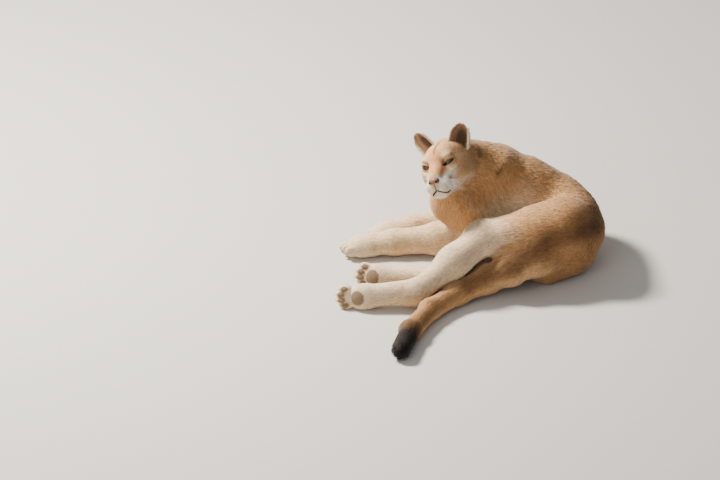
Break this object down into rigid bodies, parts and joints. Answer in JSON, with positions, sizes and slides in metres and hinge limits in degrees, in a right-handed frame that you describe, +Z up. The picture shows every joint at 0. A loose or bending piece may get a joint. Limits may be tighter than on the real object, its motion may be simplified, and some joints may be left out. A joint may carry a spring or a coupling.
{
  "type": "lying cougar museum model",
  "caption": "Life-size still model of a cougar lying on one hip, forelegs stretched to the side, head raised and turned, tail laid forward.",
  "frame": {"origin": "middle of the bottom of the box round the animal, on the floor it lies on", "axes": "+Z up; +Y from the viewer, away past the rump and then the ribs; -X the way that the forelegs reach"},
  "size_m": [0.7272, 0.8204, 0.4069],
  "materials": {
    "coat": "short tawny fur, paler below",
    "back_fur": "short fur with a darker stripe along the back",
    "leg_fur": "short pale tawny fur",
    "paw_fur": "very short pale fur",
    "face_fur": "very short fur, white round the muzzle",
    "tail_fur": "short orange brown fur",
    "tail_tip": "short black fur",
    "nose": "moist, finely pebbled skin",
    "eye": "polished, amber with a dark pupil"
  },
  "bodies": {
    "root": {"head": "face_fur", "ear_left": "face_fur", "ear_right": "face_fur", "eye_left": "eye", "eye_right": "eye", "nose": "nose", "neck": "coat", "chest": "coat", "loin": "coat", "rump": "back_fur", "shoulder_left": "coat", "forearm_left": "leg_fur", "forepaw_left": "paw_fur", "shoulder_right": "coat", "forearm_right": "leg_fur", "forepaw_right": "paw_fur", "thigh_left": "coat", "shank_left": "leg_fur", "hind_foot_left": "leg_fur", "hind_paw_left": "paw_fur", "thigh_right": "coat", "shank_right": "leg_fur", "hind_foot_right": "leg_fur", "hind_paw_right": "paw_fur", "tail_root": "tail_fur", "tail_middle": "tail_fur", "tail_tip": "tail_tip"}
  },
  "joints": []
}
